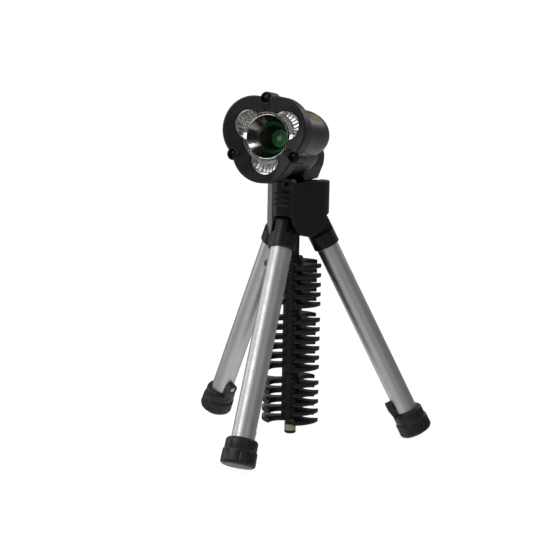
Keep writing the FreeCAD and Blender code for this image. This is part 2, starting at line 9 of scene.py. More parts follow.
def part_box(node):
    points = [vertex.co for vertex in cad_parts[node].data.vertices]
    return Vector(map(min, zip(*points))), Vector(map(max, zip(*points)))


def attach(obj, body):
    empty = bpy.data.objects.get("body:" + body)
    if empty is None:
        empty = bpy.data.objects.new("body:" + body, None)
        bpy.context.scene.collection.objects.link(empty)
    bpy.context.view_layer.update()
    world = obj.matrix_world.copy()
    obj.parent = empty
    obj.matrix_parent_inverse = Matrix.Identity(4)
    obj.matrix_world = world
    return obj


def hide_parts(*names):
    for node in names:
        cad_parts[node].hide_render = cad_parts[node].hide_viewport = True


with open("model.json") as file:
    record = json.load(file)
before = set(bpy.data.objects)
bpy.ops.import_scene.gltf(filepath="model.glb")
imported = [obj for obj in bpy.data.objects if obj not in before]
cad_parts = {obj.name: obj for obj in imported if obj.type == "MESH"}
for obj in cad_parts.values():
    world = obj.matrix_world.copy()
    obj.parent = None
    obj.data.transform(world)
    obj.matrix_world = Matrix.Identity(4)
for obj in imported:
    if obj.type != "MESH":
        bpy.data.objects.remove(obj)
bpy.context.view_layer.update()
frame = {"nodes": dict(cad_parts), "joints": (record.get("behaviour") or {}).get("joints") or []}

# A pocket torch on its own folding tripod. Lengths are in millimetres until a mesh, a light or the camera is
# made, and those are in metres.
MM = 0.001
LOBES = (30.0, 150.0, 270.0)      # directions of the torch's three lobes, about its optical axis
NOTCHES = (90.0, 210.0, 330.0)    # directions of the screws between them
LEGS = {"front": -90.0, "right": 30.0, "left": 150.0}
TURN = 2 * math.pi
ROUND = 96                        # points round a piece of ordinary size
ON_AXIS = 0.02                    # the inner radius of a turned solid: its hole is too small to show
CREASE = 35.0                     # an edge that turns by more degrees than this is sharp


def box_mm(node):
    low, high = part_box(node)
    return low / MM, high / MM


def joint(name):
    return next(row for row in frame["joints"] if row["name"] == name)


# ---------------------------------------------------------------- places, from the frame
post_low, post_high = box_mm("centre_post")
AXIS_BACK = (post_low.y + post_high.y) / 2
STAND = Matrix.Translation((0, AXIS_BACK, 0))

button_low, button_high = box_mm("power_button")
BUTTON_MIDDLE = 63.65             # from the torch's front, the head's origin, to the middle of the button
forward = Vector(joint("power_button_press")["axis"]).normalized()
head_origin = (button_low + button_high) / 2 + forward * BUTTON_MIDDLE
HEAD = Matrix.Translation(head_origin) @ Matrix.Rotation(math.acos(forward.z), 4, "X")

SPLAY = 27.0                      # of a leg from upright, in degrees
LEG_OFFSET = 2.5                  # of a tube's axis outwards from its pivot


def leg_matrix(side):
    """The frame of a splayed leg: its pivot at the origin, +X outwards, +Z up along the leg."""
    pivot = Vector(joint(f"leg_{side}_fold")["pos_m"]) / MM
    azimuth = Matrix.Rotation(math.radians(LEGS[side]), 4, "Z")
    return Matrix.Translation(pivot) @ azimuth @ Matrix.Rotation(-math.radians(SPLAY), 4, "Y")


# ---------------------------------------------------------------- geometry
class Form:
    """Shells gathered into one mesh, given in a local frame."""

    def __init__(self):
        self.points = []
        self.faces = []

    def loft(self, rings, caps=(True, True), closed=False):
        """A skin through rings of equally many points. closed joins the last ring to the first."""
        base = len(self.points)
        count = len(rings[0])
        for ring in rings:
            self.points.extend(Vector(point) for point in ring)
        spans = len(rings) if closed else len(rings) - 1
        for span in range(spans):
            here = base + span * count
            there = base + (span + 1) % len(rings) * count
            for order in range(count):
                after = (order + 1) % count
                self.faces.append((here + order, here + after, there + after, there + order))
        if caps[0] and not closed:
            self.faces.append(tuple(base + order for order in reversed(range(count))))
        if caps[1] and not closed:
            self.faces.append(tuple(base + (len(rings) - 1) * count + order for order in range(count)))
        return self

    def lathe(self, profile, around=(0, 0), closed=False, points=ROUND, caps=(True, True)):
        """A surface of revolution about Z, from (radius, height) pairs."""
        rings = [circle(radius, height, points, around) for radius, height in profile]
        return self.loft(rings, caps, closed)

    def shift(self, matrix, start=0):
        """Move the points from a given one on."""
        self.points[start:] = [matrix @ point for point in self.points[start:]]
        return self

    def piece(self, name, matrix, body, slot, material, crease=CREASE):
        """An object of what is gathered, put in its place by a matrix."""
        mesh = bpy.data.meshes.new(name)
        mesh.from_pydata([tuple(matrix @ point * MM) for point in self.points], [], self.faces)
        return finished(name, mesh, body, material, crease)


def finished(name, mesh, body, material, crease=CREASE):
    """An object of a mesh: clean normals, smooth but for its creases, riding on its body."""
    work = bmesh.new()
    work.from_mesh(mesh)
    bmesh.ops.recalc_face_normals(work, faces=work.faces)
    work.to_mesh(mesh)
    work.free()
    mesh.polygons.foreach_set("use_smooth", [True] * len(mesh.polygons))
    mesh.set_sharp_from_angle(angle=math.radians(crease))
    mesh.materials.clear()
    mesh.materials.append(material)
    piece = bpy.data.objects.new(name, mesh)
    bpy.context.scene.collection.objects.link(piece)
    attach(piece, body)
    return piece


def circle(radius, height, points=ROUND, around=(0, 0)):
    """A level ring of points about Z, or about a given place."""
    return [(around[0] + radius * math.cos(TURN * order / points),
             around[1] + radius * math.sin(TURN * order / points), height) for order in range(points)]


def polar(reach, height, points=ROUND):
    """A ring whose radius is a function of direction. height may be one too."""
    ring = []
    for order in range(points):
        angle = TURN * order / points
        radius = reach(angle)
        level = height(angle, radius) if callable(height) else height
        ring.append((radius * math.cos(angle), radius * math.sin(angle), level))
    return ring


def arc(centre, radius, start, end, steps):
    """Points of a circular arc in a plane, from one angle to another in degrees."""
    angles = [math.radians(start + (end - start) * step / steps) for step in range(steps + 1)]
    return [(centre[0] + radius * math.cos(angle), centre[1] + radius * math.sin(angle)) for angle in angles]


def smooth_max(values, softness):
    """The greatest of some values, with a rounded corner where two of them change places."""
    top = max(values)
    return top + softness * math.log(sum(math.exp((value - top) / softness) for value in values))


def smoothstep(low, high, value):
    """0 up to low, 1 from high on, and eased between."""
    share = min(max((value - low) / (high - low), 0.0), 1.0)
    return share * share * (3 - 2 * share)


def circle_reach(angle, ring, radius):
    """How far from the axis a ray leaves a circle that is centred on a ring. 0 where the ray misses it."""
    inside = radius ** 2 - (ring * math.sin(angle)) ** 2
    if inside <= 0:
        return 0.0
    return max(ring * math.cos(angle) + math.sqrt(inside), 0.0)


def lobed_reach(ring, lobe, eye, softness):
    """The radius, by direction, of three circles about the axis and an eye where they don't meet."""
    def reach(angle):
        reaches = [circle_reach(angle - math.radians(lobe_at), ring, lobe) for lobe_at in LOBES]
        return smooth_max(reaches + [eye], softness)
    return reach


def softened(name, node, body, material, voxel):
    """A CAD node's form with its edges rounded, as they leave the mould."""
    weld, passes, kept = 0.002 * MM, 6, 0.5
    mesh = frame["nodes"][node].data.copy()
    work = bmesh.new()
    work.from_mesh(mesh)
    bmesh.ops.remove_doubles(work, verts=work.verts, dist=weld)
    work.to_mesh(mesh)
    work.free()
    scratch = bpy.data.objects.new(f"{name}_scratch", mesh)
    bpy.context.scene.collection.objects.link(scratch)
    even = scratch.modifiers.new("even", "REMESH")
    even.mode = "VOXEL"
    even.voxel_size = voxel * MM
    edges = scratch.modifiers.new("edges", "SMOOTH")
    edges.factor = 0.5
    edges.iterations = passes
    thin = scratch.modifiers.new("thin", "DECIMATE")
    thin.ratio = kept
    bpy.context.view_layer.update()
    shown = bpy.data.meshes.new_from_object(scratch.evaluated_get(bpy.context.evaluated_depsgraph_get()))
    bpy.data.objects.remove(scratch)
    shown.name = name
    piece = finished(name, shown, body, material, 60.0)
    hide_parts(node)
    return piece


# ---------------------------------------------------------------- materials
MIX_FIRST, MIX_SECOND, MIX_RESULT = 6, 7, 2     # the colour sockets of a Mix node, whose names aren't unique


class Shader:
    """A node material about one Principled shader."""

    def __init__(self, name, **sockets):
        self.material = bpy.data.materials.new(name)
        self.material.use_nodes = True
        self.nodes = self.material.node_tree.nodes
        self.links = self.material.node_tree.links
        self.main = next(node for node in self.nodes if node.type == "BSDF_PRINCIPLED")
        self.place = self.nodes.new("ShaderNodeTexCoord").outputs["Object"]
        for socket, value in sockets.items():
            self.main.inputs[socket.replace("_", " ")].default_value = value

    def noise(self, scale, detail=3.0, roughness=0.5):
        """A noise field. scale is in cells per millimetre."""
        noise = self.nodes.new("ShaderNodeTexNoise")
        noise.inputs["Scale"].default_value = scale / MM
        noise.inputs["Detail"].default_value = detail
        noise.inputs["Roughness"].default_value = roughness
        self.links.new(self.place, noise.inputs["Vector"])
        return noise.outputs["Fac"]

    def span(self, value, low, high, source=(0.35, 0.65)):
        """A value carried from a source range, which most of a noise field is in, into low to high."""
        ranged = self.nodes.new("ShaderNodeMapRange")
        for socket, number in zip(("From Min", "From Max", "To Min", "To Max"), (*source, low, high)):
            ranged.inputs[socket].default_value = number
        self.links.new(value, ranged.inputs["Value"])
        return ranged.outputs["Result"]

    def mixed(self, share, first, second):
        """A colour between two, by a share from 0 to 1."""
        mix = self.nodes.new("ShaderNodeMix")
        mix.data_type = "RGBA"
        self.feed(share, mix.inputs["Factor"])
        self.feed(first, mix.inputs[MIX_FIRST])
        self.feed(second, mix.inputs[MIX_SECOND])
        return mix.outputs[MIX_RESULT]

    def feed(self, value, socket):
        """Give a socket a fixed value, or another node's output."""
        if isinstance(value, bpy.types.NodeSocket):
            self.links.new(value, socket)
        else:
            socket.default_value = value

    def edges(self, low=0.52, high=0.6):
        """Where the surface is sharply convex, and so worn."""
        return self.span(self.nodes.new("ShaderNodeNewGeometry").outputs["Pointiness"], 0, 1, (low, high))

    def bump(self, *fields):
        """Bumps laid over each other, as (height field, depth in millimetres)."""
        normal = None
        for field, depth in fields:
            bump = self.nodes.new("ShaderNodeBump")
            bump.inputs["Distance"].default_value = depth * MM
            bump.inputs["Strength"].default_value = 1.0
            self.links.new(field, bump.inputs["Height"])
            if normal:
                self.links.new(normal, bump.inputs["Normal"])
            normal = bump.outputs["Normal"]
        self.links.new(normal, self.main.inputs["Normal"])

    def set(self, socket, value):
        self.feed(value, self.main.inputs[socket])


def grey(level, warm=0.0):
    """A grey, with a share more red and less blue where it is warm."""
    return (level * (1 + warm), level, level * (1 - warm), 1)


def cool(level):
    """A near-black with the faint violet cast of black plastic."""
    return (level, level * 0.96, level * 1.25, 1)


def moulded(name, dark, light, roughness, grain=6.0, depth=0.012, wear=None, coat=0.0):
    """Moulded plastic: a fine grain, a slightly uneven gloss, and edges of a paler grey if wear is given."""
    shader = Shader(name, Specular_IOR_Level=0.38, Coat_Weight=coat, Coat_Roughness=0.25)
    cloud = shader.noise(0.12, 4)
    tint = shader.mixed(shader.span(cloud, 0, 1), dark, light)
    shader.set("Base Color", shader.mixed(shader.edges(), tint, grey(wear)) if wear else tint)
    shader.set("Roughness", shader.span(shader.noise(0.3, 5, 0.65), roughness - 0.05, roughness + 0.07))
    shader.bump((shader.noise(grain, 2), depth), (cloud, 0.02))
    return shader.material


def bare_metal(name, colour, shade, roughness, scale=5.0, depth=0.006):
    """Metal with a fine even grain and a faint cloud of handling marks."""
    shader = Shader(name, Metallic=1.0)
    grain = shader.noise(scale, 3, 0.6)
    cloud = shader.noise(0.05, 4)
    shader.set("Base Color", shader.mixed(shader.span(cloud, 0, 1), colour, shade))
    smears = shader.noise(0.2, 5, 0.7)
    shader.set("Roughness", shader.span(smears, roughness - 0.04, roughness + 0.05))
    shader.bump((grain, depth))
    return shader.material


def sprayed(name, colour, shade, roughness):
    """Metallic paint: a flake that breaks up the sheen, and a faint orange peel."""
    shader = Shader(name, Metallic=0.75, Coat_Weight=0.15, Coat_Roughness=0.3)
    flake = shader.noise(9.0, 1)
    shader.set("Base Color", shader.mixed(shader.span(flake, 0, 1), colour, shade))
    shader.set("Roughness", shader.span(shader.noise(0.15, 4), roughness - 0.03, roughness + 0.04))
    shader.bump((shader.noise(1.2, 2), 0.008), (flake, 0.003))
    return shader.material


# Painted shade: the dark brown that the main reflector's deep part is painted, and the slanted axis that sets
# where this painted shade falls, darker to one side.
BOWL_PAINTED_SHADE = grey(0.06, 0.15)
PAINTED_SHADE_AXIS = (HEAD.to_3x3() @ Vector((0.6, 0, 0.8))).normalized()      # aslant of the torch's own axis


def chromed(name, colour, roughness, ripple=0.01, painted_shade=None):
    """Vacuum-plated plastic: a mirror with the faint ripple of the moulding under it.

    The last argument, when given, is two levels along the slanted axis above: below the first the plating is
    painted a dark brown and made rougher, a painted shade over the bowl's deep part, and above the second it
    stays bright.
    """
    shader = Shader(name, Metallic=1.0)
    haze = shader.noise(0.25, 4, 0.6)
    plating_and_shade = shader.mixed(shader.span(haze, 0, 1), colour, grey(0.72))
    dull = shader.span(haze, roughness, roughness + 0.05)
    if painted_shade:
        along = shader.nodes.new("ShaderNodeVectorMath")
        along.operation = "DOT_PRODUCT"
        along.inputs[1].default_value = PAINTED_SHADE_AXIS
        shader.links.new(shader.place, along.inputs[0])
        ends = [(PAINTED_SHADE_AXIS.dot(head_origin) + level) * MM for level in painted_shade]
        share = shader.span(along.outputs["Value"], 0, 1, ends)
        # Painted shade: below the first level the plating is painted dark brown, standing in for the shade
        # and dark reflections in the bowl's deep part.
        plating_and_shade = shader.mixed(share, BOWL_PAINTED_SHADE, plating_and_shade)
        dull = shader.span(share, roughness + 0.25, roughness + 0.03, (0, 1))
    shader.set("Base Color", plating_and_shade)
    shader.set("Roughness", dull)
    shader.bump((shader.noise(0.3, 1), ripple))
    return shader.material


def rubbery(name, dark, light, roughness):
    """Moulded rubber: cloudy and matt, with paler edges and a fine pitted grain."""
    shader = Shader(name, Specular_IOR_Level=0.4)
    cloud = shader.noise(0.18, 5, 0.6)
    tint = shader.mixed(shader.span(cloud, 0, 1), dark, light)
    shader.set("Base Color", shader.mixed(shader.edges(0.51, 0.6), tint, grey(0.045)))
    shader.set("Roughness", shader.span(cloud, roughness - 0.08, roughness + 0.08))
    shader.bump((shader.noise(4.0, 3), 0.02), (shader.noise(0.6, 2), 0.03))
    return shader.material


def clear(name):
    """A thin clear window: it lets the light through and adds its own gloss."""
    material = bpy.data.materials.new(name)
    material.use_nodes = True
    nodes, links = material.node_tree.nodes, material.node_tree.links
    nodes.clear()
    through = nodes.new("ShaderNodeBsdfTransparent")
    through.inputs["Color"].default_value = (0.97, 0.98, 0.98, 1)
    gloss = nodes.new("ShaderNodeBsdfGlossy")
    smears = nodes.new("ShaderNodeTexNoise")
    smears.inputs["Scale"].default_value = 0.3 / MM
    ranged = nodes.new("ShaderNodeMapRange")
    ranged.inputs["To Min"].default_value = 0.02
    ranged.inputs["To Max"].default_value = 0.08
    links.new(nodes.new("ShaderNodeTexCoord").outputs["Object"], smears.inputs["Vector"])
    links.new(smears.outputs["Fac"], ranged.inputs["Value"])
    links.new(ranged.outputs["Result"], gloss.inputs["Roughness"])
    fresnel = nodes.new("ShaderNodeFresnel")
    fresnel.inputs["IOR"].default_value = 1.25
    mix = nodes.new("ShaderNodeMixShader")
    out = nodes.new("ShaderNodeOutputMaterial")
    links.new(fresnel.outputs["Fac"], mix.inputs["Fac"])
    links.new(through.outputs["BSDF"], mix.inputs[1])
    links.new(gloss.outputs["BSDF"], mix.inputs[2])
    links.new(mix.outputs["Shader"], out.inputs["Surface"])
    return material


BLACK = moulded("black_plastic", cool(0.006), cool(0.009), 0.36, wear=0.016)
BEZEL = moulded("bezel_plastic", cool(0.010), cool(0.015), 0.4, grain=8.0, depth=0.006, wear=0.02)
SILVER = sprayed("barrel_silver", grey(0.045, 0.12), grey(0.06, 0.1), 0.34)
TUBE = bare_metal("tube_aluminium", grey(0.70, 0.01), grey(0.64, 0.015), 0.43, 6.0, 0.002)
RUBBER = rubbery("foot_rubber", cool(0.016), cool(0.022), 0.38)
SOFT = rubbery("button_rubber", grey(0.012), grey(0.02), 0.55)
# The bowl's plating, with a painted dark shade over its deep part.
CHROME = chromed("reflector_chrome", grey(0.86, 0.03), 0.05, painted_shade=(-18.2, -15.6))
SATIN = chromed("side_reflector_chrome", grey(0.95, 0.03), 0.2, 0.02)
STEEL = bare_metal("steel", grey(0.55), grey(0.48), 0.22, 2.0, 0.004)
BLACK_STEEL = bare_metal("black_steel", grey(0.05), grey(0.03), 0.3, 3.0, 0.004)
BOARD = moulded("board_green", (0.008, 0.22, 0.06, 1), (0.012, 0.28, 0.08, 1), 0.3, coat=0.3)
LAMP = moulded("lamp_yellow", (0.55, 0.46, 0.22, 1), (0.62, 0.54, 0.30, 1), 0.3, coat=0.4)
CELL = moulded("cell_wrap", (0.02, 0.03, 0.09, 1), (0.03, 0.04, 0.11, 1), 0.3)
BRASS = bare_metal("brass", (0.62, 0.42, 0.13, 1), (0.5, 0.33, 0.1, 1), 0.25)
MAGNET = moulded("magnet", (0.035, 0.010, 0.007, 1), (0.05, 0.016, 0.010, 1), 0.35)
BAND = moulded("band_cream", (0.52, 0.46, 0.34, 1), (0.6, 0.54, 0.42, 1), 0.4)
LABEL = moulded("label", (0.42, 0.29, 0.02, 1), (0.48, 0.34, 0.03, 1), 0.35, grain=3.0)
LABEL_INK = moulded("label_ink", (0.28, 0.19, 0.015, 1), (0.33, 0.23, 0.02, 1), 0.4)
CLEAR = clear("lens_clear")


# ---------------------------------------------------------------- torch head
BEZEL_RING, BEZEL_LOBE, BEZEL_FRONT, BEZEL_BACK = 7.2, 17.8, -0.2, -9.5
BOSS_RING, BOSS_RADIUS, BOSS_FRONT, BOSS_BACK, LUG_END = 20.3, 3.38, -1.6, -12.0, -14.0
SCREW_ROOM, SCREW_SEAT, BOARD_FRONT = 2.55, -3.4, -24.4
WINDOW_RING, WINDOW_LOBE, WINDOW_EYE, WINDOW_DEPTH = 12.3, 7.8, 13.2, -4.6
RIM_WIDTH, RIM_AT_SCREW = 1.45, 1.1       # of the bezel's front edge, outside the dish
RIM_DEPTH, BOWL_RADIUS, BOWL_WALL, LAMP_HOLE = -5.8, 11.5, 0.7, 5.0
BARREL_RING, BARREL_LOBE, BARREL_WALL = 6.9, 13.4, 1.5
DOME_START, DOME_LENGTH, BUTTON_HOLE, LABEL_TURN = -40.2, 27.0, 4.25, 43.0
FINE = 240                        # points round the torch's own outline
QUARTERS = ((1, 1, 0), (-1, 1, 90), (-1, -1, 180), (1, -1, 270))   # a rounded corner's signs and first angle


def offset(reach, by):
    """A radius by direction, made larger."""
    return lambda angle: reach(angle) + by


def on_ring(ring, degrees):
    """The point in a direction on a ring about the axis."""
    return ring * math.cos(math.radians(degrees)), ring * math.sin(math.radians(degrees))


def scalloped(reach):
    """A radius by direction, cut back to leave room for the three screw heads."""
    def cut(angle):
        radius = reach(angle)
        for notch in NOTCHES:
            aside = angle - math.radians(notch)
            inside = SCREW_ROOM ** 2 - (BOSS_RING * math.sin(aside)) ** 2
            if inside > 0 and math.cos(aside) > 0:
                radius = min(radius, BOSS_RING * math.cos(aside) - math.sqrt(inside))
        return radius
    return cut


def bezel():
    """The dished front ring: rounded outside, sloped down to the window, with a pocket for the lens."""
    outer = lobed_reach(BEZEL_RING, BEZEL_LOBE, 0, 0.35)
    rim = scalloped(outer)
    window = lobed_reach(WINDOW_RING, WINDOW_LOBE, WINDOW_EYE, 0.2)
    front, back = BEZEL_FRONT, BEZEL_BACK
    edge, pocket, lip = 0.9, 0.8, WINDOW_DEPTH + 0.8
    skin = [(offset(outer, -0.4), back), (outer, back + 0.4), (outer, SCREW_SEAT - 0.04), (rim, SCREW_SEAT),
            (rim, front - edge)]
    skin += [(offset(rim, across - edge), front - edge + along)
             for across, along in arc((0, 0), edge, 15, 90, 5)]

    def between(share):
        """A radius by direction, a share of the way from the window to the edge of the dish."""
        def reach(angle):
            dish = min(outer(angle) - RIM_WIDTH, rim(angle) - RIM_AT_SCREW)
            return window(angle) + (dish - window(angle)) * share
        return reach

    depth = front - lip
    skin += [(between(1.0), front - 0.02), (between(0.97), front - 0.12)]
    skin += [(between(share), lip + depth * (share * 0.9 + 0.1 * share ** 2) - 0.1)
             for share in (0.8, 0.6, 0.4, 0.2, 0.06)]
    skin += [(window, lip - 0.25), (window, WINDOW_DEPTH), (offset(window, pocket), WINDOW_DEPTH - 0.02),
             (offset(window, pocket), back + 0.3), (offset(window, pocket + 0.3), back)]
    form = Form().loft([polar(reach, level, 2 * FINE) for reach, level in skin], closed=True)
    well, hole, top = 2.5, 1.5, BOSS_FRONT
    for angle in NOTCHES:
        boss = [(well, SCREW_SEAT), (well, top - 0.25), (well + 0.25, top), (BOSS_RADIUS - 0.35, top),
                (BOSS_RADIUS - 0.1, top - 0.1), (BOSS_RADIUS, top - 0.4), (BOSS_RADIUS, BOSS_BACK),
                (hole, BOSS_BACK), (hole, SCREW_SEAT)]
        form.lathe(boss, on_ring(BOSS_RING, angle), closed=True, points=48)
    piece = form.piece("bezel_ring", HEAD, "head", "bezel_plastic", BEZEL)
    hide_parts("front_bezel")


def screws():
    """Pan-head screws with a cross recess."""
    form = Form()
    head, shank, seat, crown = 2.4, 1.45, SCREW_SEAT + 0.05, SCREW_SEAT + 1.35
    brim, points, turn = seat + 0.5, 64, 20
    slot_side, slot_end, slot_depth = (0.24, 0.4), (1.3, 1.6), 0.75
    for angle in NOTCHES:
        rings = [circle(radius, level, points)
                 for radius, level in ((shank, BOSS_BACK - 0.9), (shank, seat), (head - 0.1, seat),
                                       (head, seat + 0.15), (head, brim))]
        for share in (0.97, 0.9, 0.8, 0.7, 0.62, 0.54, 0.46, 0.38, 0.3, 0.22, 0.14, 0.06):
            ring = []
            for x, y, _ in circle(head * share, 0, points):
                dome = brim + (crown - brim) * math.sqrt(1 - share ** 2)
                across, along = sorted((abs(x), abs(y)))
                sunk = (1 - smoothstep(*slot_side, across)) * (1 - smoothstep(*slot_end, along))
                ring.append((x, y, dome - slot_depth * sunk))
            rings.append(ring)
        start = len(form.points)
        form.loft(rings)
        form.shift(Matrix.Translation((*on_ring(BOSS_RING, angle), 0))
                   @ Matrix.Rotation(math.radians(angle + turn), 4, "Z"), start)
    piece = form.piece("bezel_screw_set", HEAD, "head", "black_steel", BLACK_STEEL)
    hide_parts("bezel_screws")


def dome_point(angle, radius, skin):
    """How far back the tail is, at a direction and radius: three domes side by side."""
    place = (radius * math.cos(angle), radius * math.sin(angle))
    nearest = min(math.dist(place, on_ring(BARREL_RING, lobe)) for lobe in LOBES)
    share = min(nearest / (BARREL_LOBE - skin), 1.0)
    return DOME_START - (DOME_LENGTH - skin) * math.sqrt(1 - share ** 2)


def barrel_side(skin, front):
    """Rings of the torch's body from its front edge to the button's hole, at a depth under its skin."""
    outer = lobed_reach(BARREL_RING, BARREL_LOBE - skin, 0, 0.3)
    rings = [polar(outer, front + (DOME_START - front) * share, FINE) for share in (0, 0.02, 0.33, 0.66, 1.0)]
    steps = 30
    for step in range(1, steps + 1):
        share = math.cos(math.pi / 2 * step / steps)

        def reach(angle, share=share):
            return BUTTON_HOLE + (outer(angle) - BUTTON_HOLE) * share
        rings.append(polar(reach, lambda angle, radius: dome_point(angle, radius, skin), FINE))
    return rings


def barrel():
    """The three-lobed body with its domed tail, and the lugs that the screws go into."""
    outside = barrel_side(0, BEZEL_BACK - 0.35)
    lip = [polar(lobed_reach(BARREL_RING, BARREL_LOBE - 0.3, 0, 0.3), BEZEL_BACK, FINE)]
    inside = barrel_side(BARREL_WALL, BEZEL_BACK)
    form = Form().loft(lip + outside + list(reversed(inside)), closed=True)
    radius, edge, root = BOSS_RADIUS, 0.8, 4.5
    profile = [(ON_AXIS / 2, BOSS_BACK - 0.02), (radius - 0.1, BOSS_BACK - 0.02), (radius, BOSS_BACK - 0.15)]
    profile += [(radius - edge + across, LUG_END + edge - along)
                for across, along in arc((0, 0), edge, 15, 90, 5)]
    profile += [(ON_AXIS / 2, LUG_END)]
    for angle in NOTCHES:
        start = len(form.points)
        form.lathe(profile, closed=True, points=48)
        for point in form.points[start:]:
            if point.x < 0:
                point.x -= root * smoothstep(0, radius, -point.x)
        form.shift(Matrix.Translation((*on_ring(BOSS_RING, angle), 0))
                   @ Matrix.Rotation(math.radians(angle), 4, "Z"), start)
    piece = form.piece("barrel_body", HEAD, "head", "barrel_silver", SILVER, 50.0)
    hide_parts("barrel_shell")


def label():
    """A blank plate that follows the lobe it is stuck to, with a darker field inside its border."""
    half, front, back, corner = 2.75, -28.6, -42.4, 0.5
    middle = (front + back) / 2
    lobe_at = on_ring(BARREL_RING, LOBES[0])

    def plate(low, inset, name, slot, material, replaced):
        rounds = []
        for sign_x, sign_z, start in QUARTERS:
            centre = (sign_x * (half - inset - corner), sign_z * ((front - back) / 2 - inset - corner))
            rounds += arc(centre, corner, start, start + 90, 5)

        def level(height):
            ring = []
            for across, along in rounds:
                angle = math.radians(LABEL_TURN) + across / BARREL_LOBE
                radius = BARREL_LOBE + height
                ring.append((lobe_at[0] + radius * math.cos(angle),
                             lobe_at[1] + radius * math.sin(angle), middle + along))
            return ring
        form = Form().loft([level(low), level(low + 0.04), level(low + 0.06)])
        piece = form.piece(name, HEAD, "head", slot, material)
        if replaced:
            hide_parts(replaced)

    plate(0.02, 0.0, "label_blank", "label", LABEL, "label_plate")
    plate(0.05, 0.9, "label_field", "label", LABEL_INK, None)


def bowl():
    """The main reflector: a parabola that ends at the lamp's hole, with a thin rolled rim round its front."""
    steps, deep, edge = 40, RIM_DEPTH - BOARD_FRONT, 0.25
    apex = deep / (1 - (LAMP_HOLE / BOWL_RADIUS) ** 2)
    inside = []
    for step in range(steps + 1):
        along = deep * (step / steps) ** 1.3
        inside.append((BOWL_RADIUS * math.sqrt(1 - along / apex), RIM_DEPTH - along))
    outside = [(radius + BOWL_WALL - 0.05, level) for radius, level in reversed(inside[1:])]
    rim = [(BOWL_RADIUS + edge + across, RIM_DEPTH + along * 0.6)
           for across, along in arc((0, 0), edge, 0, 180, 8)]
    form = Form().lathe(outside + rim + inside[1:], closed=True, points=128)
    piece = form.piece("reflector_bowl", HEAD, "head", "reflector_chrome", CHROME)
    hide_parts("main_reflector")


def side_reflectors():
    """The plated tray round the bowl: a smooth wall in each lobe, and a band of ridges along its floor."""
    window = lobed_reach(WINDOW_RING, WINDOW_LOBE + 0.65, WINDOW_EYE + 0.65, 0.2)
    inner, back = BOWL_RADIUS + BOWL_WALL + 0.05, RIM_DEPTH - 3.4
    steps, count = 44, 3 * FINE
    ridge_turn, ridge_depth, wall_slope = 6.4, 1.5, 0.22

    def ring_at(share):
        def reach(angle):
            return inner + (window(angle) - inner) * share

        def level(angle, radius):
            room = window(angle) - inner
            nearest = min(abs((math.degrees(angle) - lobe + 180) % 360 - 180) for lobe in LOBES)
            wall = math.sqrt(1 - share ** 2) * min(room, 6) * wall_slope
            inside = smoothstep(0.3, 0.34, share) * (1 - smoothstep(0.82, 0.86, share))
            wave = abs((nearest / ridge_turn + 0.5) % 1 - 0.5) * 2
            ridged = inside * (1 - smoothstep(26, 29, nearest)) * smoothstep(1.5, 3.5, room)
            return RIM_DEPTH - 0.15 - wall - ridge_depth * ridged * wave
        return polar(reach, level, count)

    rings = [ring_at(step / steps) for step in range(steps + 1)]
    rings += [polar(window, back, count), circle(inner, back, count)]
    form = Form().loft(rings, closed=True)
    piece = form.piece("reflector_tray", HEAD, "head", "reflector_chrome", SATIN, 25.0)
    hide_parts("side_reflector")


def lens():
    """The flat clear window, as wide as its pocket in the bezel."""
    window = lobed_reach(WINDOW_RING, WINDOW_LOBE + 0.7, WINDOW_EYE + 0.7, 0.2)
    front = WINDOW_DEPTH - 0.04
    skin = [(offset(window, -0.12), front), (window, front - 0.12), (window, front - 0.88),
            (offset(window, -0.12), front - 1)]
    form = Form().loft([polar(reach, level, FINE) for reach, level in skin])
    piece = form.piece("lens_window", HEAD, "head", "lens_clear", CLEAR)
    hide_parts("front_lens")


def lamp():
    """The green board behind the bowl, raised inside the bowl's hole, and a small square lamp with a dome."""
    board, behind, raised = 11.0, BOARD_FRONT - 1.2, BOARD_FRONT + 0.5
    form = Form().lathe([(ON_AXIS / 2, behind), (board, behind), (board, BOARD_FRONT), (4.9, BOARD_FRONT),
                         (4.85, raised - 0.08), (4.75, raised), (ON_AXIS / 2, raised)], closed=True)
    piece = form.piece("lamp_board_disc", HEAD, "head", "board_green", BOARD)
    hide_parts("lamp_board")
    half, corner, dome, dome_foot = 1.33, 0.25, 1.1, raised + 0.88
    rounds = []
    for sign_x, sign_y, start in QUARTERS:
        rounds += arc((sign_x * (half - corner), sign_y * (half - corner)), corner, start, start + 90, 4)
    package = Form().loft([[(x * size, y * size, raised + level) for x, y in rounds]
                           for size, level in ((1, 0), (1, 0.8), (0.96, 0.88), (0.86, 0.9))])
    package.lathe(arc((0, dome_foot), dome, 0, 81, 9) + [(ON_AXIS, dome_foot + dome)], points=48)
    piece = package.piece("lamp_package", HEAD, "head", "lamp_yellow", LAMP)
    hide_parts("led_lamp")


def button():
    """The rubber cap of the tail switch: a flat face with a rounded edge and a sunk ring."""
    radius, back, inner = 4.15, -65.6, -61.7
    edge, groove = 0.8, 0.25
    profile = [(ON_AXIS / 2, inner), (radius - 0.2, inner), (radius, inner - 0.2), (radius, back + edge)]
    profile += [(radius - edge + across, back + edge - along)
                for across, along in arc((0, 0), edge, 15, 90, 5)]
    profile += [(2.9, back), (2.75, back + groove), (2.45, back + groove), (2.3, back + 0.02),
                (ON_AXIS / 2, back)]
    form = Form().lathe(profile, closed=True, points=72)
    piece = form.piece("power_button_cap", HEAD, "button", "rubber", SOFT)
    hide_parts("power_button")


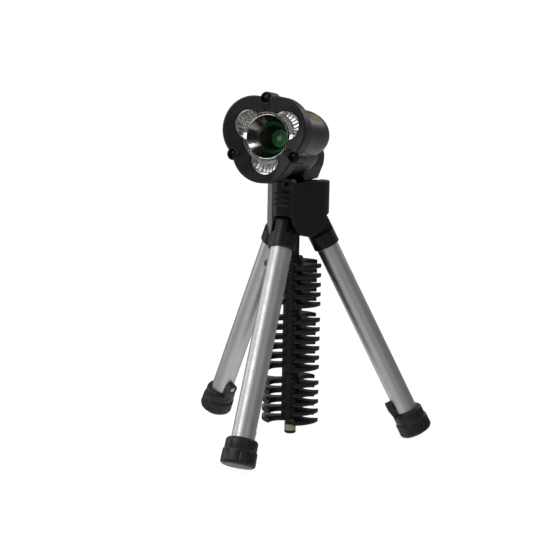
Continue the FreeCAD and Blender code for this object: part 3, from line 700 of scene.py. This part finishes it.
# ---------------------------------------------------------------- legs
LEG_LENGTH = 135.5
TUBE_RADIUS, TUBE_BORE, TUBE_TOP, FOOT_FLOOR = 6.35, 5.55, -4.2, 4.0
KNUCKLE_RADIUS, KNUCKLE_TOP, KNUCKLE_DROP, KNUCKLE_ROUND = 7.55, 5.0, -12.6, 3.0
TONGUE_HALF, TONGUE_LEVEL = 3.45, -4.2
FOOT_RADIUS, FOOT_COLLAR, FOOT_HEIGHT, FOOT_STEP = 9.7, 8.9, 15.0, 8.6
LUG_LEVEL, LUG_ROOT, LUG_REACH, LUG_RADIUS, STUD_RADIUS = 20.4, 12.0, 9.85, 3.3, 1.5


def along_leg(side):
    """The frame of a leg's own axis, with Z = 0 at the pivot's level."""
    return leg_matrix(side) @ Matrix.Translation((LEG_OFFSET, 0, 0))


def knuckle(side):
    """A cup round the tube's end, with a flat-sided tongue above it that swings in the hub's slot."""
    outside = [(KNUCKLE_RADIUS - 0.9, KNUCKLE_DROP), (KNUCKLE_RADIUS - 0.3, KNUCKLE_DROP + 0.02),
               (KNUCKLE_RADIUS, KNUCKLE_DROP + 0.35)]
    outside += [(KNUCKLE_RADIUS, level) for level in (-9.5, -6.5)]
    outside += [(KNUCKLE_RADIUS, TONGUE_LEVEL - under) for under in (0.9, 0.6, 0.35, 0.15, 0.0, -0.2, -1.0)]
    edge = KNUCKLE_ROUND
    outside += [(KNUCKLE_RADIUS - edge + across, KNUCKLE_TOP - edge + along)
                for across, along in arc((0, 0), edge, 0, 90, 10)]
    outside += [(2.0, KNUCKLE_TOP), (ON_AXIS, KNUCKLE_TOP)]
    mouth = [(ON_AXIS, TUBE_TOP + 0.05), (TUBE_RADIUS + 0.02, TUBE_TOP + 0.05),
             (TUBE_RADIUS + 0.02, KNUCKLE_DROP + 0.3), (TUBE_RADIUS + 0.3, KNUCKLE_DROP)]
    start_of_mouth = len(outside) * ROUND
    form = Form().lathe(outside + mouth, closed=True)
    for point in form.points[:start_of_mouth]:
        into = smoothstep(TONGUE_LEVEL - 0.9, TONGUE_LEVEL, point.z)
        half = KNUCKLE_RADIUS + (TONGUE_HALF - KNUCKLE_RADIUS) * (1 - math.sqrt(1 - into ** 2))
        point.y = max(-half, min(half, point.y))
    piece = form.piece(f"knuckle_{side}", along_leg(side), f"leg_{side}", "black_plastic", BLACK)
    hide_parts(f"leg_knuckle_{side}")


def tube(side):
    """A leg's tube, open at both ends, from the foot's floor to the knuckle."""
    low, high, edge = FOOT_FLOOR - LEG_LENGTH, TUBE_TOP, 0.2
    profile = [(TUBE_BORE, low + edge), (TUBE_BORE + edge, low), (TUBE_RADIUS - edge, low),
               (TUBE_RADIUS, low + edge)]
    profile += [(TUBE_RADIUS, low + (high - low) * share) for share in (0.25, 0.5, 0.75)]
    profile += [(TUBE_RADIUS, high - edge), (TUBE_RADIUS - edge, high), (TUBE_BORE + edge, high),
                (TUBE_BORE, high - edge)]
    form = Form().lathe(profile, closed=True, points=128)
    piece = form.piece(f"tube_{side}", along_leg(side), f"leg_{side}", "tube_aluminium", TUBE)
    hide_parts(f"leg_tube_{side}")


def foot_cup(base):
    """Rings of the rubber cup: a body with sunk flutes, a step, a rounded collar and the tube's hole."""
    flutes, flute_half, points, heel, top = 8, 0.9, 2 * ROUND, 2.0, 2.1

    def fluted(size, depth):
        def reach(angle):
            turn = (angle * flutes / TURN) % 1
            across = abs(turn - 0.5) * TURN / flutes * size
            return size - depth * (1 - smoothstep(flute_half * 0.35, flute_half, across))
        return reach

    rings = [circle(size, base, points) for size in (1.5, FOOT_RADIUS - 3.2)]
    for across, along in arc((0, 0), heel, -90, 0, 8):
        rings.append(polar(fluted(FOOT_RADIUS - heel + across, 0.2), base + heel + along, points))
    for level, depth in ((2.6, 0.3), (3.2, 0.55), (4.8, 0.55), (6.2, 0.55), (6.9, 0.4), (7.4, 0.0)):
        rings.append(polar(fluted(FOOT_RADIUS - 0.02 * level, depth), base + level, points))
    for size, level in ((FOOT_RADIUS - 0.25, FOOT_STEP - 0.45), (FOOT_RADIUS - 0.55, FOOT_STEP - 0.15),
                        (FOOT_COLLAR - 0.05, FOOT_STEP + 0.05), (FOOT_COLLAR - 0.1, FOOT_STEP + 0.3),
                        (FOOT_COLLAR, FOOT_STEP + 0.6), (FOOT_COLLAR, 11.5)):
        rings.append(circle(size, base + level, points))
    for across, along in arc((0, 0), top, 0, 90, 8):
        rings.append(circle(FOOT_COLLAR - top + across, base + FOOT_HEIGHT - top + along, points))
    for size, level in ((TUBE_RADIUS + 0.1, FOOT_HEIGHT - 0.25), (TUBE_RADIUS + 0.02, FOOT_HEIGHT - 0.5),
                        (TUBE_RADIUS + 0.02, FOOT_FLOOR), (1.5, FOOT_FLOOR)):
        rings.append(circle(size, base + level, points))
    return rings


def lug_fin(base):
    """Rings of the web that carries the lug on the inner side of the collar."""
    half, steps, edge = LUG_RADIUS - 0.05, 8, 0.5
    foot_out, lug_out, inside = FOOT_COLLAR - 0.3, LUG_REACH - 0.3, -TUBE_RADIUS + 0.9
    rings = []
    for step in range(steps + 1):
        share = step / steps
        height = base + LUG_ROOT + (LUG_LEVEL - 1.2 - LUG_ROOT) * share
        out = -(foot_out + (lug_out - foot_out) * smoothstep(0, 0.8, share))
        rings.append([(out, -half + edge, height), (out + edge, -half, height), (inside, -half, height),
                      (inside, half, height), (out + edge, half, height), (out, half - edge, height)])
    return rings


def foot(side):
    """A rubber cup with a lug that holds a steel stud. It is worn flat where it stands."""
    base = -LEG_LENGTH
    lug_place = Matrix.Translation((0, 0, base + LUG_LEVEL)) @ Matrix.Rotation(-math.pi / 2, 4, "Y")
    form = Form().loft(foot_cup(base))
    start = len(form.points)
    inner, outer, reach, edge = STUD_RADIUS + 0.02, LUG_RADIUS, LUG_REACH, 0.6
    lug = [(ON_AXIS, TUBE_RADIUS + 0.05), (outer, TUBE_RADIUS + 0.05), (outer, reach - edge)]
    lug += [(outer - edge + across, reach - edge + along) for across, along in arc((0, 0), edge, 0, 90, 5)]
    lug += [(inner + 0.3, reach), (inner, reach - 0.25), (inner, reach - 1.6), (ON_AXIS, reach - 1.6)]
    form.lathe(lug, closed=True, points=56)
    form.shift(lug_place, start)
    form.loft(lug_fin(base))
    matrix = along_leg(side)
    lift = matrix.inverted().to_3x3() @ Vector((0, 0, 1))
    for point in form.points:
        height = (matrix @ point).z
        if height < 0:
            point += lift * -height
    piece = form.piece(f"foot_{side}", matrix, f"leg_{side}", "foot_rubber", RUBBER, 45.0)
    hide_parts(f"leg_foot_{side}")
    stud = [(ON_AXIS, reach - 1.55), (inner - 0.05, reach - 1.55), (inner - 0.05, reach - 0.35),
            (inner - 0.2, reach - 0.15), (0.9, reach - 0.05), (ON_AXIS, reach - 0.01)]
    form = Form().lathe(stud, closed=True, points=40)
    form.shift(lug_place)
    piece = form.piece(f"stud_{side}", matrix, f"leg_{side}", "steel", STEEL)
    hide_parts(f"foot_stud_{side}")


# ---------------------------------------------------------------- stand
POST_RADIUS, POST_LOW, POST_TOP = 3.2, 9.2, 139.6
TIP_RADIUS, TIP_LOW, BAND_LOW = 3.35, 3.7, 5.6
RIB_RADIUS, CORE_RADIUS, RIB_LOW, RIB_THICK, RIB_PITCH, TIER_GAP = 16.6, 5.4, 11.9, 2.4, 5.48, 6.7
BAY_RING, BAY_RADIUS = 13.1, 7.5
TIERS = (("lower", 5), ("middle", 6), ("upper", 5))


def post():
    """The post, and the pale band and dark end at its foot."""
    edge, band, end = 0.2, BAND_LOW, TIP_LOW
    profile = [(ON_AXIS, POST_LOW), (POST_RADIUS - 0.3, POST_LOW), (POST_RADIUS, POST_LOW + 0.3),
               (POST_RADIUS, POST_TOP), (ON_AXIS, POST_TOP)]
    form = Form().lathe(profile, closed=True)
    piece = form.piece("post_rod", STAND, "stand", "black_plastic", BLACK)
    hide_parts("centre_post")
    profile = [(ON_AXIS, band), (TIP_RADIUS - edge, band), (TIP_RADIUS, band + edge)]
    profile += [(TIP_RADIUS - sunk, band + up)
                for sunk, up in ((0, 1.5), (0.15, 1.65), (0.15, 1.85), (0, 2.0))]
    profile += [(TIP_RADIUS, POST_LOW - edge), (TIP_RADIUS - edge, POST_LOW), (ON_AXIS, POST_LOW)]
    form = Form().lathe(profile, closed=True)
    piece = form.piece("tip_band", STAND, "stand", "label", BAND)
    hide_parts("post_tip_band")
    profile = [(ON_AXIS, end), (2.3, end), (TIP_RADIUS - 0.4, end + 0.15), (TIP_RADIUS, end + 0.6),
               (TIP_RADIUS, band - edge), (TIP_RADIUS - edge, band), (ON_AXIS, band)]
    form = Form().lathe(profile, closed=True)
    piece = form.piece("tip_magnet", STAND, "stand", "magnet", MAGNET)
    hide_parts("post_tip_magnet")


def rib_outline(inset):
    """A rib of the grip, drawn in by an inset: a disc with a bay for each folded leg."""
    rim, bay = RIB_RADIUS - inset, BAY_RADIUS + inset
    meet = (BAY_RING ** 2 + rim ** 2 - bay ** 2) / (2 * BAY_RING)
    horn = math.degrees(math.acos(meet / rim))
    bay_turn = math.degrees(math.atan2(math.sqrt(rim ** 2 - meet ** 2), meet - BAY_RING))
    points = []
    for leg in LEGS.values():
        spin = Matrix.Rotation(math.radians(leg), 2)
        points += [spin @ Vector(point) for point in arc((BAY_RING, 0), bay, -bay_turn, bay_turn - 360, 30)]
        points += [spin @ Vector(point) for point in arc((0, 0), rim, horn, 120 - horn, 16)[1:-1]]
    return points


def grip():
    """Three tiers of ribs on a core round the post."""
    low, edge = RIB_LOW, 0.3
    levels = ((edge, 0), (edge * 0.3, edge * 0.3), (0, edge), (0, RIB_THICK - edge),
              (edge * 0.3, RIB_THICK - edge * 0.3), (edge, RIB_THICK))
    for tier, ribs in TIERS:
        top = low + (ribs - 1) * RIB_PITCH + RIB_THICK
        core_low = low if tier == "lower" else low - TIER_GAP / 2
        core_high = top + TIER_GAP / 2
        core = [(POST_RADIUS, core_low), (CORE_RADIUS - edge, core_low), (CORE_RADIUS, core_low + edge),
                (CORE_RADIUS, core_high - edge), (CORE_RADIUS - edge, core_high), (POST_RADIUS, core_high)]
        form = Form().lathe(core, closed=True)
        for order in range(ribs):
            base = low + order * RIB_PITCH
            form.loft([[(*point, base + level) for point in rib_outline(inset)] for inset, level in levels])
        piece = form.piece(f"grip_{tier}", STAND, "stand", "black_plastic", BLACK, 40.0)
        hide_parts(f"grip_core_{tier}")
        low = top + TIER_GAP


def lock():
    """The round lock button at the hub's front edge, with a hole in its face."""
    side, level, radius, hole, inner, outer = 3.2, 149.9, 3.2, 1.2, 14.0, 20.25
    edge, hole_depth = 0.7, 2.0
    profile = [(ON_AXIS, inner), (radius, inner), (radius, outer - edge)]
    profile += [(radius - edge + across, outer - edge + along)
                for across, along in arc((0, 0), edge, 10, 90, 6)]
    profile += [(hole + 0.35, outer - 0.1), (hole, outer - 0.4), (hole, outer - hole_depth),
                (ON_AXIS, outer - hole_depth)]
    form = Form().lathe(profile, closed=True, points=64)
    form.shift(Matrix.Translation((side, 0, level)) @ Matrix.Rotation(math.pi / 2, 4, "X"))
    form.piece("hub_lock_button", STAND, "stand", "black_plastic", BLACK)


def scenery(name, mesh, hidden_from):
    """An object round the part that some kinds of ray don't see."""
    piece = bpy.data.objects.new(name, mesh)
    bpy.context.scene.collection.objects.link(piece)
    for ray in hidden_from:
        setattr(piece, f"visible_{ray}", False)
    return piece


def floor():
    """The plain pale floor that the feet stand on."""
    reach, level, white = 4000, -0.02, (1, 1, 1, 1)
    mesh = bpy.data.meshes.new("floor")
    sheet = Form().lathe([(ON_AXIS / 2, level), (reach, level)], caps=(True, False), points=64)
    mesh.from_pydata([tuple(point * MM) for point in sheet.points], [], sheet.faces)
    shader = Shader("floor", Specular_IOR_Level=0.0, Emission_Color=white, Emission_Strength=0.94)
    shader.set("Base Color", shader.mixed(shader.span(shader.noise(0.01), 0, 1), grey(0.22), grey(0.24)))
    shader.set("Roughness", 0.8)
    mesh.materials.append(shader.material)
    piece = scenery("floor", mesh, ("diffuse", "glossy", "transmission"))


def surround():
    """A plain white sphere round it all, as the background."""
    mesh = bpy.data.meshes.new("surround")
    work = bmesh.new()
    bmesh.ops.create_uvsphere(work, u_segments=48, v_segments=24, radius=5.0)
    work.to_mesh(mesh)
    work.free()
    glow = bpy.data.materials.new("surround")
    glow.use_nodes = True
    glow.node_tree.nodes.clear()
    emission = glow.node_tree.nodes.new("ShaderNodeEmission")
    out = glow.node_tree.nodes.new("ShaderNodeOutputMaterial")
    emission.inputs["Color"].default_value = (1, 1, 1, 1)
    glow.node_tree.links.new(emission.outputs["Emission"], out.inputs["Surface"])
    mesh.materials.append(glow)
    piece = scenery("surround", mesh, ("diffuse", "glossy", "transmission", "shadow"))


# ---------------------------------------------------------------- light and camera
def lamp_panel(name, place, aim, size, power):
    """A soft rectangular light at a place, pointed at another, both in millimetres."""
    light = bpy.data.lights.new(name, "AREA")
    light.shape = "RECTANGLE"
    light.size, light.size_y = size[0] * MM, size[1] * MM
    light.energy = power
    item = bpy.data.objects.new(name, light)
    item.location = Vector(place) * MM
    item.rotation_euler = (Vector(aim) - Vector(place)).to_track_quat("-Z", "Y").to_euler()
    bpy.context.scene.collection.objects.link(item)


def lights():
    """Five soft panels round the torch: a high key, two on the left, a fill on the right, one behind."""
    middle = (0, AXIS_BACK, 110)
    lamp_panel("key", (-380, -590, 575), middle, (380, 380), 1.6)
    lamp_panel("side", (-660, -60, 260), middle, (300, 600), 0.75)
    lamp_panel("edge", (-500, 700, 220), middle, (260, 520), 0.4)
    lamp_panel("fill", (660, -460, 300), middle, (300, 600), 0.2)
    lamp_panel("back", (300, 680, 480), middle, (500, 300), 0.7)


def surroundings():
    """A plain room as the metal sees it: a pale table, dim walls with uneven patches, a paler ceiling."""
    world = bpy.data.worlds.new("world")
    bpy.context.scene.world = world
    world.use_nodes = True
    nodes, links = world.node_tree.nodes, world.node_tree.links
    place = nodes.new("ShaderNodeTexCoord").outputs["Generated"]
    parts = nodes.new("ShaderNodeSeparateXYZ")
    links.new(place, parts.inputs["Vector"])
    heights = nodes.new("ShaderNodeValToRGB")
    heights.color_ramp.interpolation = "EASE"
    stops = ((0.0, grey(0.65)), (0.24, grey(0.6)), (0.43, grey(0.17, 0.03)), (0.55, grey(0.12, 0.05)),
             (0.85, grey(0.24)), (1.0, grey(0.5)))
    ramp = heights.color_ramp.elements
    ramp[0].color, ramp[-1].color = stops[0][1], stops[-1][1]
    for share, colour in stops[1:-1]:
        ramp.new(share).color = colour
    into = nodes.new("ShaderNodeMapRange")
    into.inputs["From Min"].default_value = -1.0
    links.new(parts.outputs["Z"], into.inputs["Value"])
    links.new(into.outputs["Result"], heights.inputs["Fac"])
    patches = nodes.new("ShaderNodeTexNoise")
    patches.inputs["Scale"].default_value = 2.2
    patches.inputs["Detail"].default_value = 2.0
    links.new(place, patches.inputs["Vector"])
    uneven = nodes.new("ShaderNodeMapRange")
    for socket, number in (("From Min", 0.4), ("From Max", 0.6), ("To Min", 0.6), ("To Max", 1.5)):
        uneven.inputs[socket].default_value = number
    links.new(patches.outputs["Fac"], uneven.inputs["Value"])
    links.new(heights.outputs["Color"], nodes["Background"].inputs["Color"])
    links.new(uneven.outputs["Result"], nodes["Background"].inputs["Strength"])


def camera():
    """The main view: from the front right, a little above, and turned slightly on its axis."""
    azimuth, elevation, roll = math.radians(22.207), math.radians(9.325), math.radians(1.107)
    distance, aim = 840.8, Vector((-6.9, AXIS_BACK - 2.8, 92.9))
    back = Vector((math.sin(azimuth) * math.cos(elevation), -math.cos(azimuth) * math.cos(elevation),
                   math.sin(elevation)))
    data = bpy.data.cameras.new("camera")
    data.lens, data.sensor_width = 95.06, 36.0
    data.clip_start, data.clip_end = 0.05, 20
    item = bpy.data.objects.new("camera", data)
    right = Vector((math.cos(azimuth), math.sin(azimuth), 0))
    up = back.cross(right)
    basis = Matrix((right, up, back)).transposed() @ Matrix.Rotation(roll, 3, "Z")
    item.matrix_world = Matrix.Translation((aim + back * distance) * MM) @ basis.to_4x4()
    bpy.context.scene.collection.objects.link(item)
    bpy.context.scene.camera = item


def carried_over():
    """The CAD nodes that stay, each with its finish."""
    finishes = {
        "leg_pivot_pins": STEEL, "neck_pin": STEEL, "front_contacts": BRASS,
        "battery_cell_right": CELL, "battery_cell_left": CELL, "battery_cell_bottom": CELL,
        "rear_contact_board": BOARD, "power_switch": BLACK,
    }
    for node, material in finishes.items():
        mesh = frame["nodes"][node].data
        mesh.materials.clear()
        mesh.materials.append(material)


camera()
lights()
surroundings()
floor()
surround()
bezel()
screws()
barrel()
label()
bowl()
side_reflectors()
lens()
lamp()
button()
for side in LEGS:
    knuckle(side)
    tube(side)
    foot(side)
post()
grip()
lock()
softened("hub_shell", "hub_housing", "stand", BLACK, 0.25)
softened("neck_cradle", "head_neck", "head", BLACK, 0.22)
carried_over()
bpy.context.scene.view_settings.view_transform = "Standard"
